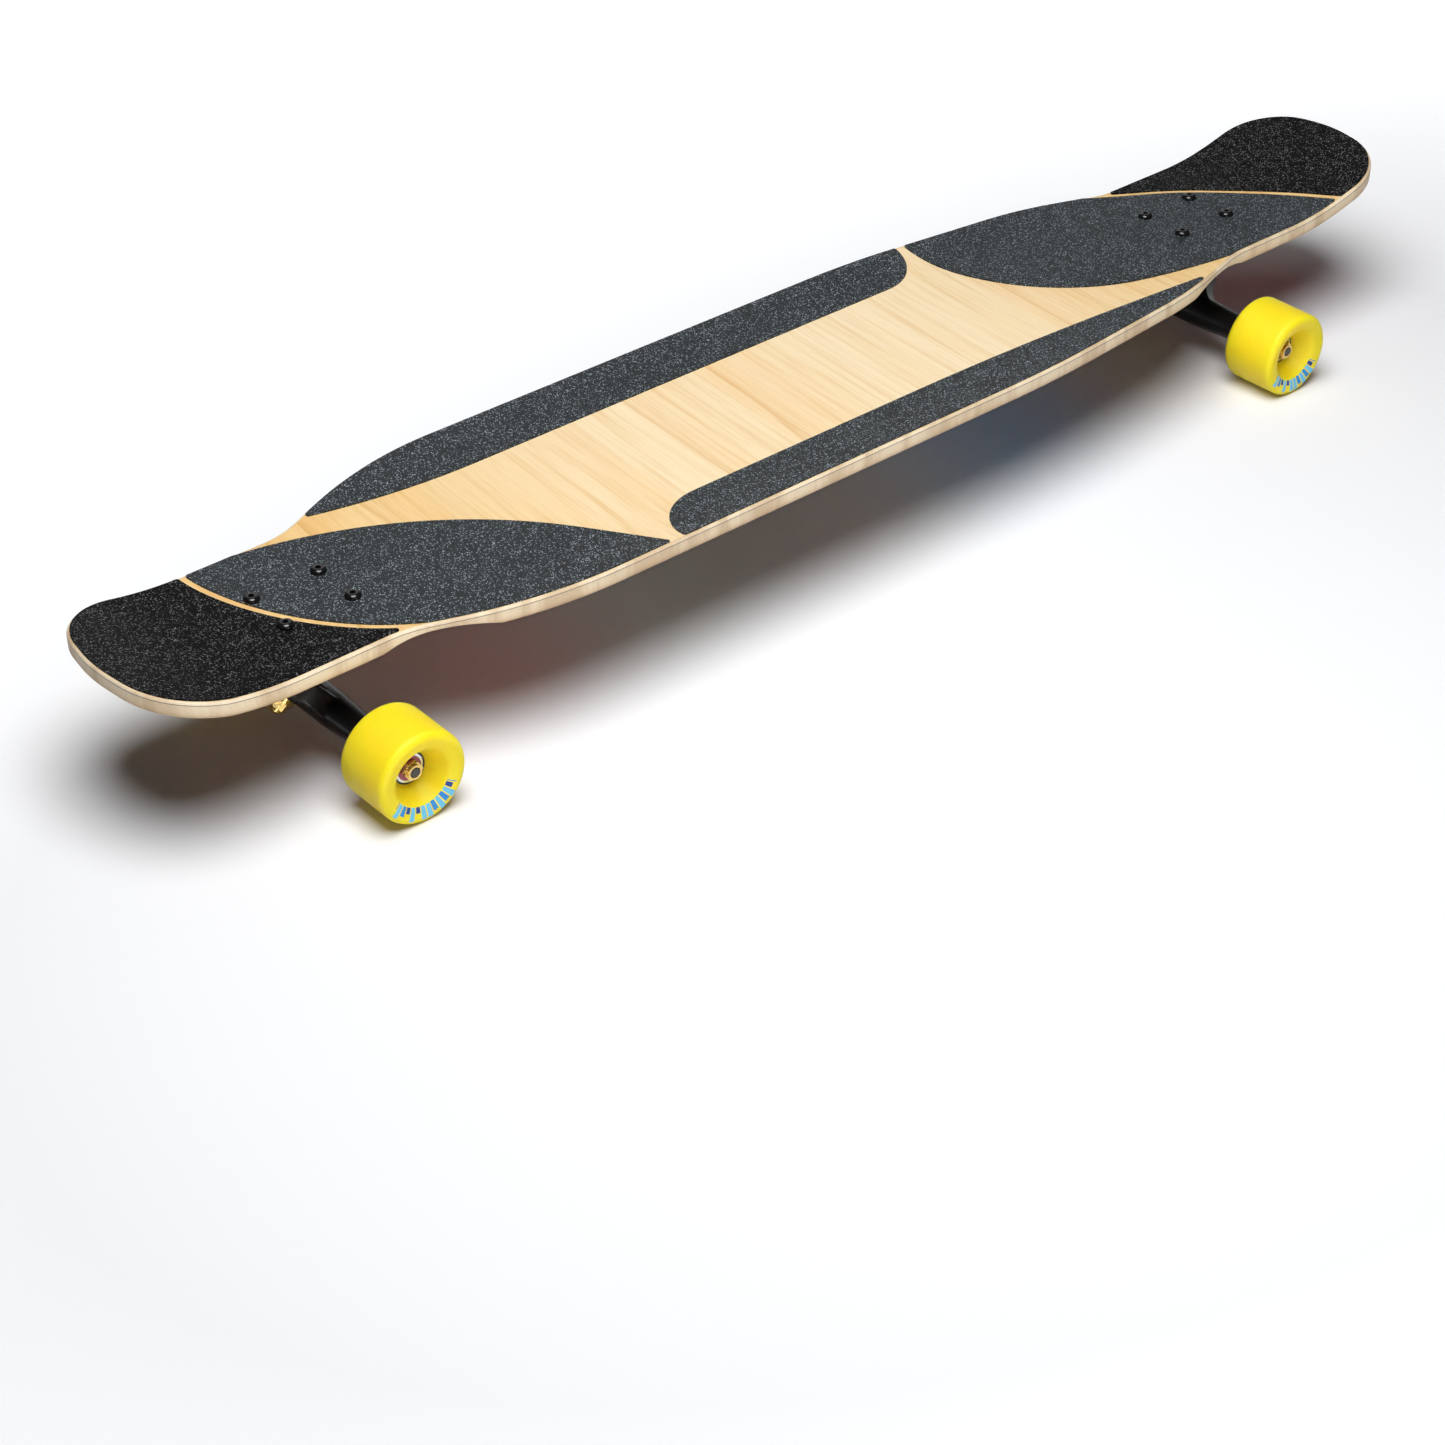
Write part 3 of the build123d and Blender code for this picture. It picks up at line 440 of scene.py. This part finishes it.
black_grip = grit_sheet("black_grip", (0.001, 0.001, 0.001), (0.020, 0.020, 0.0205), 0.03)
slate_grip = grit_sheet("slate_grip", (0.011, 0.0135, 0.0155), (0.034, 0.040, 0.044), 0.28)
for sheet in ("grip_tail", "grip_nose"):
    coat(sheet, black_grip)
for sheet in ("grip_tail_truck", "grip_nose_truck", "grip_left_strip", "grip_right_strip"):
    coat(sheet, slate_grip)

# Mounting bolts and lock nuts. Button-head socket bolts in blackened steel go down through the grip, the deck
# and the baseplate's flange, and take a lock nut below.
fixings = ("mount_bolts", "mount_nuts")


def vary(tree, shader, socket, factor, *stops):
    """Feeds a shader's socket from a ramp through (position, colour) stops."""
    tree.links.new(ramp(tree, factor, stops), shader.inputs[socket])


black_steel, tree, shader = new_finish("black_steel")
wear = streaks(tree, (900, 900, 900), detail=4)
vary(tree, shader, "Base Color", wear, (0.3, (0.003, 0.003, 0.0032)), (0.75, (0.008, 0.008, 0.0085)))
vary(tree, shader, "Roughness", wear, (0.3, 0.14), (0.75, 0.22))
shader.inputs["Specular IOR Level"].default_value = 0.6
for fixing in fixings:
    coat(fixing, black_steel)

# Trucks. Baseplate and hanger are aluminium castings with soft corners under a satin black coat.
# The nose truck is modelled, and the tail truck is the same truck turned round.
nose_axle_x, tail_axle_x, axle_height = 0.42775, -0.45225, 0.035
between_trucks = Vector(((nose_axle_x + tail_axle_x) / 2, 0, 0))
half_turn = Matrix.Rotation(pi, 4, "Z")
turned_round = Matrix.Translation(between_trucks) @ half_turn @ Matrix.Translation(-between_trucks)
cast_grain = 0.0009
cast_weld = 1e-5

black_coat, tree, shader = new_finish("black_coat")
cloud = streaks(tree, (60, 60, 60), detail=4)
peel = streaks(tree, (1400, 1400, 1400), detail=2)
vary(tree, shader, "Base Color", cloud, (0.3, (0.005, 0.005, 0.0052)), (0.7, (0.010, 0.010, 0.0105)))
vary(tree, shader, "Roughness", cloud, (0.3, 0.28), (0.7, 0.36))
shader.inputs["Specular IOR Level"].default_value = 0.3
bump(tree, shader, peel, strength=0.12, distance=0.0002)


def finish_truck_piece(piece, end, finish, body, node):
    """Finishes and smooths a truck piece, hides the CAD part it replaces and, if it is rigid, attaches it to
    its body.
    """
    piece.data.materials.clear()
    piece.data.materials.append(finish)
    piece.data.polygons.foreach_set("use_smooth", [True] * len(piece.data.polygons))
    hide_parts(f"{end}_{node}")
    if body:
        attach(piece, body)


def both_ends(nose_piece):
    """The nose piece and its copy at the tail."""
    tail_piece = bpy.data.objects.new(nose_piece.name.replace("nose", "tail"), nose_piece.data.copy())
    bpy.context.scene.collection.objects.link(tail_piece)
    tail_piece.data.transform(turned_round)
    return (("nose", nose_piece), ("tail", tail_piece))


for node, body in (("baseplate", "board"), ("hanger", "{}_steering")):
    bpy.ops.object.select_all(action="DESELECT")
    cast = bpy.data.objects.new(f"nose_{node}_cast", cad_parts[f"nose_{node}"].data.copy())
    bpy.context.scene.collection.objects.link(cast)
    cast.select_set(True)
    bpy.context.view_layer.objects.active = cast
    bpy.ops.object.mode_set(mode="EDIT")
    bpy.ops.mesh.select_all(action="SELECT")
    bpy.ops.mesh.remove_doubles(threshold=cast_weld)
    bpy.ops.object.mode_set(mode="OBJECT")
    remesh = cast.modifiers.new("cast", "REMESH")
    remesh.mode = "VOXEL"
    remesh.voxel_size = cast_grain
    bpy.ops.object.modifier_apply(modifier="cast")
    soften = cast.modifiers.new("soften", "SMOOTH")
    soften.factor = 0.5
    soften.iterations = 7
    bpy.ops.object.modifier_apply(modifier="soften")
    for end, piece in both_ends(cast):
        finish_truck_piece(piece, end, black_coat, body.format(end), node)

# Bushings, washers and kingpin. Two dark urethane bushings sit on the kingpin, one each side of the hanger's
# ring, each under a dished washer plated like the kingpin and its nut. A real bushing squeezes as the hanger
# turns; these keep their turned shape. The hanger's pivot rests in a rubber cup in the baseplate.
steer_angle = radians(50)
to_pivot = Vector((cos(steer_angle), 0, sin(steer_angle)))
along_kingpin = Vector((sin(steer_angle), 0, -cos(steer_angle)))
ring_lift = 0.022
ring_centre = Vector((nose_axle_x, 0, axle_height)) + to_pivot * ring_lift


def turned(name, corners, origin, axis, steps=96, arc_steps=6):
    """A turned piece: a closed profile of (radius, distance along the axis, rounding) in mm, spun round."""
    profile = rounded_loop(corners, arc_steps)
    axis = Vector(axis).normalized()
    across = axis.orthogonal().normalized()
    bpy.ops.object.select_all(action="DESELECT")
    bpy.ops.mesh.primitive_circle_add(vertices=len(profile), radius=1, fill_type="NOTHING")
    piece = bpy.context.object
    piece.name = name
    for vertex, (radius, along) in zip(piece.data.vertices, profile):
        vertex.co = origin + across * radius * mm + axis * along * mm
    bpy.ops.object.mode_set(mode="EDIT")
    bpy.ops.mesh.select_all(action="SELECT")
    bpy.ops.mesh.spin(steps=steps, angle=2 * pi, center=origin, axis=axis)
    bpy.ops.mesh.select_all(action="SELECT")
    bpy.ops.mesh.remove_doubles(threshold=weld)
    bpy.ops.mesh.normals_make_consistent(inside=False)
    bpy.ops.object.mode_set(mode="OBJECT")
    bpy.ops.object.shade_smooth_by_angle(angle=radians(40))
    return piece


dark_urethane, tree, shader = new_finish("dark_urethane")
cloud = streaks(tree, (220, 220, 220))
vary(tree, shader, "Base Color", cloud, (0.3, (0.010, 0.010, 0.011)), (0.7, (0.022, 0.022, 0.024)))
shader.inputs["Roughness"].default_value = 0.38
bump(tree, shader, cloud, strength=0.1, distance=0.0002)

# Along the kingpin in millimetres from the middle of the ring: the board side is below nought
ring_half, barrel_end, cone_end, seat_slack = 4.5, 17.5, 13.5, 0.05
bore, widest, belly = 5.1, 11.9, 12.2
cone_tip, cone_shoulder = 8.0, 6.5
seat, barrel_foot, cone_foot = ring_half + seat_slack, barrel_end - seat_slack, cone_end - seat_slack
barrel = [
    (bore, -seat, 0.4), (widest, -seat, 0.8), (belly, -(ring_half + barrel_end) / 2, 6),
    (widest, -barrel_foot, 0.8), (bore, -barrel_foot, 0.4),
]
cone = [
    (bore, cone_foot, 0.4), (cone_tip, cone_foot, 0.8), (widest, cone_shoulder, 1.5),
    (widest, seat, 0.8), (bore, seat, 0.4),
]
for node, profile, washer_end, ring_end in (
    ("boardside_bushing", barrel, -barrel_end, -ring_half), ("roadside_bushing", cone, cone_end, ring_half),
):
    bushing = turned(f"nose_{node}_soft", profile, ring_centre, along_kingpin)
    for end, piece in both_ends(bushing):
        finish_truck_piece(piece, end, dark_urethane, None, node)
        ends_at = [ring_centre + along_kingpin * distance * mm for distance in (washer_end, ring_end)]
        if end == "tail":
            ends_at = [turned_round @ point for point in ends_at]
        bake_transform(piece)

gold_plate, tree, shader = new_finish("gold_plate")
scuffs = streaks(tree, (500, 500, 500), detail=4, roughness=0.65)
vary(tree, shader, "Base Color", scuffs, (0.3, (0.66, 0.44, 0.13)), (0.7, (0.86, 0.64, 0.26)))
vary(tree, shader, "Roughness", scuffs, (0.3, 0.30), (0.7, 0.16))
shader.inputs["Metallic"].default_value = 1.0
bump(tree, shader, scuffs, strength=0.08, distance=0.0002)
rubber_cup, tree, shader = new_finish("rubber_cup")
vary(tree, shader, "Base Color", streaks(tree, (300, 300, 300)), (0.3, 0.012), (0.7, 0.024))
shader.inputs["Roughness"].default_value = 0.6
for end in ("nose", "tail"):
    for node in ("kingpin", "kingpin_nut", "boardside_washer", "roadside_washer"):
        coat(f"{end}_{node}", gold_plate)
    coat(f"{end}_pivot_cup", rubber_cup)

# Axles. A ground steel rod goes through each hanger, dark plated, with speed washers, spacers and
# the bearings' inner races threaded on it. Plated lock nuts hold the wheels on.
dark_steel, tree, shader = new_finish("dark_steel")
rings = streaks(tree, (700, 2600, 700))
vary(tree, shader, "Base Color", rings, (0.3, (0.050, 0.048, 0.048)), (0.7, (0.12, 0.115, 0.11)))
vary(tree, shader, "Roughness", rings, (0.3, 0.28), (0.7, 0.42))
shader.inputs["Metallic"].default_value = 1.0
bright_steel, tree, shader = new_finish("bright_steel")
rings = streaks(tree, (900, 3000, 900))
vary(tree, shader, "Base Color", rings, (0.3, (0.56, 0.56, 0.58)), (0.7, (0.72, 0.72, 0.74)))
vary(tree, shader, "Roughness", rings, (0.3, 0.12), (0.7, 0.24))
shader.inputs["Metallic"].default_value = 1.0
for end in ("nose", "tail"):
    for node in ("axle", "bearing_spacers", "axle_washers"):
        coat(f"{end}_{node}", dark_steel)
    coat(f"{end}_inner_races", bright_steel)
    coat(f"{end}_axle_nuts", gold_plate)

# Wheels. Yellow urethane is cast round a black plastic core and turned to shape, with rounded lips
# and a deep cone on both faces. Two shielded ball bearings press into the core. The outer face is printed.

# The print is a fan of uneven bars on a part of the face, in metres from the hub and radians round it
bars_round = 36
bar_fill = 0.40
bar_foot, shortest_bar, bar_spread = 0.022, 0.026, 0.007
blank_turn = 2.05
printed_from = 0.02
yellow_urethane, tree, shader = new_finish("yellow_urethane")
cloud = streaks(tree, (35, 35, 35), detail=4)
skin = streaks(tree, (1800, 1800, 1800), detail=2)
yellow = ramp(tree, cloud, ((0.3, (0.96, 0.71, 0.010)), (0.7, (0.98, 0.74, 0.016))))
from_hub = put(tree, "ShaderNodeAttribute", attribute_name="from_hub").outputs["Vector"]
hub = put(tree, "ShaderNodeSeparateXYZ", {0: from_hub}).outputs
around = work_out(tree, "ARCTAN2", hub["X"], hub["Z"])
squares = [work_out(tree, "POWER", hub[axis], 2.0) for axis in ("X", "Z")]
reach = work_out(tree, "SQRT", work_out(tree, "ADD", *squares))
bar = work_out(tree, "MULTIPLY", around, bars_round / (2 * pi))
bar_number = work_out(tree, "FLOOR", bar)
draw = put(tree, "ShaderNodeTexWhiteNoise", {"W": bar_number}, noise_dimensions="1D").outputs["Value"]
off_middle = work_out(tree, "ABSOLUTE", work_out(tree, "SUBTRACT", work_out(tree, "FRACT", bar), 0.5))
bar_top = work_out(tree, "ADD", work_out(tree, "MULTIPLY", draw, bar_spread), shortest_bar)
shown = work_out(tree, "LESS_THAN", off_middle, bar_fill)
for test in (
    work_out(tree, "GREATER_THAN", reach, bar_foot),
    work_out(tree, "LESS_THAN", reach, bar_top),
    work_out(tree, "GREATER_THAN", hub["Y"], printed_from),
    work_out(tree, "GREATER_THAN", work_out(tree, "ABSOLUTE", around), blank_turn),
):
    shown = work_out(tree, "MULTIPLY", shown, test)
navy, blue, pale_blue = (0.010, 0.06, 0.30), (0.02, 0.26, 0.66), (0.16, 0.55, 0.80)
blues = ramp(tree, draw, ((0.0, navy), (0.34, blue), (0.67, pale_blue)), "CONSTANT")
tree.links.new(mix(tree, "MIX", shown, yellow, blues), shader.inputs["Base Color"])
shader.inputs["Roughness"].default_value = 0.5
shader.inputs["Specular IOR Level"].default_value = 0.35
shader.inputs["Subsurface Weight"].default_value = 0.85
shader.inputs["Subsurface Radius"].default_value = (0.018, 0.014, 0.0020)
shader.inputs["Subsurface Scale"].default_value = 1.0
bump(tree, shader, skin, strength=0.08, distance=0.0002)

black_core, tree, shader = new_finish("black_core")
vary(tree, shader, "Base Color", streaks(tree, (500, 500, 500)), (0.3, 0.010), (0.7, 0.022))
shader.inputs["Roughness"].default_value = 0.45
mauve_shield, tree, shader = new_finish("mauve_shield")
cloud = streaks(tree, (650, 650, 650))
vary(tree, shader, "Base Color", cloud, (0.3, (0.27, 0.05, 0.10)), (0.7, (0.38, 0.09, 0.16)))
shader.inputs["Roughness"].default_value = 0.35
bump(tree, shader, cloud, strength=0.1, distance=0.0002)

# The tyre's profile in millimetres, along the axle from the board's centre line: one is turned, then copied
tyre_profile = [
    (12.42, 90.0, 0.4), (12.42, 114.0, 0.4), (22.0, 129.5, 6.0), (29.5, 131.5, 3.0),
    (35.0, 131.5, 5.0), (35.0, 82.0, 5.0), (29.5, 82.0, 2.0), (22.0, 84.0, 3.0),
]
hub_middle = 104.0
turned_tyre = turned("turned_tyre", tyre_profile, Vector(), (0, 1, 0), steps=128, arc_steps=10)
for end, axle_x in (("nose", nose_axle_x), ("tail", tail_axle_x)):
    for side, outward, facing in (("left", 1, 0), ("right", -1, pi)):
        axle_centre = Vector((axle_x, 0, axle_height))
        tyre = bpy.data.objects.new(f"{end}_{side}_wheel_urethane", turned_tyre.data.copy())
        bpy.context.scene.collection.objects.link(tyre)
        tyre.data.transform(Matrix.Translation(axle_centre) @ Matrix.Rotation(facing, 4, "Z"))
        offsets = np.array([vertex.co - axle_centre for vertex in tyre.data.vertices])
        offsets[:, 1] = offsets[:, 1] * outward - hub_middle * mm
        from_hub = tyre.data.attributes.new("from_hub", "FLOAT_VECTOR", "POINT")
        from_hub.data.foreach_set("vector", offsets.astype(np.float32).ravel())
        tyre.data.materials.append(yellow_urethane)
        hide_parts(f"{end}_{side}_tyre")
        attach(tyre, f"{end}_{side}_wheel")
        coat(f"{end}_{side}_core", black_core)
        coat(f"{end}_{side}_shields", mauve_shield)
        coat(f"{end}_{side}_outer_races", bright_steel)
        coat(f"{end}_{side}_balls", bright_steel)
bpy.data.objects.remove(turned_tyre)

# Studio. A pale seamless floor, brighter away from the board, a broad softbox above it, low strip lights
# in front and behind for the edges and the wheel faces, and a white world that only the camera sees in full.
floor_size = 14
floor_seen, floor_unseen = (0.91, 0.92, 0.94), (0.50, 0.50, 0.50)
oval_shift, oval_scale = (0.04, 0.36, 0), (0.8, 1.2, 1)
glow_from, glow_full = 0.62, 1.6
bpy.ops.object.select_all(action="DESELECT")
bpy.ops.mesh.primitive_grid_add(x_subdivisions=8, y_subdivisions=8, size=floor_size)
floor = bpy.context.object
floor.name = "studio_floor"
floor_paper, tree, shader = new_finish("floor_paper")
tree.nodes.remove(shader)
paper = put(tree, "ShaderNodeBsdfDiffuse")
glow = put(tree, "ShaderNodeEmission", {"Color": (1, 1, 1, 1)})
oval = put(tree, "ShaderNodeMapping", {
    "Vector": put(tree, "ShaderNodeTexCoord").outputs["Object"], "Location": oval_shift, "Scale": oval_scale,
})
spread = put(tree, "ShaderNodeVectorMath", {0: oval.outputs["Vector"]}, operation="LENGTH")
rise = put(tree, "ShaderNodeMapRange", {
    "Value": spread.outputs["Value"], "From Min": glow_from, "From Max": glow_full,
})
ray = put(tree, "ShaderNodeLightPath").outputs
seen = work_out(tree, "ADD", ray["Is Camera Ray"], ray["Is Glossy Ray"])
seen = work_out(tree, "MINIMUM", work_out(tree, "ADD", seen, ray["Is Transmission Ray"]), 1.0)
tree.links.new(mix(tree, "MIX", seen, floor_unseen, floor_seen), paper.inputs["Color"])
tree.links.new(work_out(tree, "MULTIPLY", seen, rise.outputs[0]), glow.inputs["Strength"])
lifted = put(tree, "ShaderNodeAddShader", {0: paper.outputs[0], 1: glow.outputs[0]})
tree.links.new(lifted.outputs[0], tree.nodes["Material Output"].inputs["Surface"])
floor.data.materials.append(floor_paper)

# The world is nearly dark for the light it gives, white for the camera, and has one pale card for reflections
world_light = 0.015
card_towards = (0.532, 0.759, 0.375)
card_rim, card_middle = 0.87, 0.98
off_card, on_card = 0.04, 0.7
studio = bpy.data.worlds.new("studio")
bpy.context.scene.world = studio
studio.use_nodes = True
tree = studio.node_tree
ray = put(tree, "ShaderNodeLightPath").outputs
seen = work_out(tree, "ADD", ray["Is Camera Ray"], ray["Is Transmission Ray"])
white = work_out(tree, "MULTIPLY", work_out(tree, "MINIMUM", seen, 1.0), 1 - world_light)
facing_card = put(tree, "ShaderNodeVectorMath", {
    0: put(tree, "ShaderNodeTexCoord").outputs["Generated"], 1: card_towards,
}, operation="DOT_PRODUCT")
card = put(tree, "ShaderNodeMapRange", {
    "Value": facing_card.outputs["Value"],
    "From Min": card_rim, "From Max": card_middle, "To Min": off_card, "To Max": on_card,
})
reflected = work_out(tree, "MULTIPLY", ray["Is Glossy Ray"], card.outputs[0])
strength = work_out(tree, "ADD", work_out(tree, "ADD", white, world_light), reflected)
tree.links.new(strength, tree.nodes["Background"].inputs["Strength"])
tree.nodes["Background"].inputs["Color"].default_value = (1, 1, 1, 1)

# The strip behind the board stays out of reflections
for name, shape, width, height, power, place, aim in (
    ("softbox", "DISK", 1.6, 1.6, 53, (-0.4, -0.46, 1.95), (0.7, 0, 0.1)),
    ("front_strip", "RECTANGLE", 2.4, 0.12, 25, (-1.0, -2.3, 0.07), (-0.2, 0, 0.07)),
    ("back_strip", "RECTANGLE", 2.4, 0.12, 12, (0.6, 2.3, 0.07), (0, 0, 0.07)),
):
    bpy.ops.object.light_add(type="AREA", location=place)
    lamp = bpy.context.object
    lamp.name = f"studio_{name}"
    lamp.data.shape = shape
    lamp.data.size = width
    lamp.data.size_y = height
    lamp.data.energy = power
    lamp.visible_camera = False
    lamp.visible_glossy = name != "back_strip"
    lamp.rotation_euler = (Vector(aim) - Vector(place)).to_track_quat("-Z", "Y").to_euler()

# Camera. A long lens from the tail's right side, looking down, with a slight roll.
# Its focal length is in the pixels of a picture of the given width.
azimuth, elevation, roll = radians(-40.3), radians(35.8), radians(-0.46)
focal_pixels, picture_width = 2899, 1445
sensor_width = 36.0
looked_at = Vector((-0.08225, 0, -0.165))
camera_distance = 2.309
away = Vector((sin(azimuth) * cos(elevation), -cos(azimuth) * cos(elevation), sin(elevation)))
level_right = Vector((cos(azimuth), sin(azimuth), 0))
level_up = away.cross(level_right)
right = cos(roll) * level_right + sin(roll) * level_up
up = cos(roll) * level_up - sin(roll) * level_right
bpy.ops.object.camera_add()
camera = bpy.context.object
camera.data.sensor_width = sensor_width
camera.data.lens = sensor_width * focal_pixels / picture_width
camera.data.clip_end = 100
stand = looked_at + away * camera_distance
camera.matrix_world = Matrix.Translation(stand) @ Matrix((right, up, away)).transposed().to_4x4()
bpy.context.scene.camera = camera
bpy.context.scene.view_settings.view_transform = "Standard"
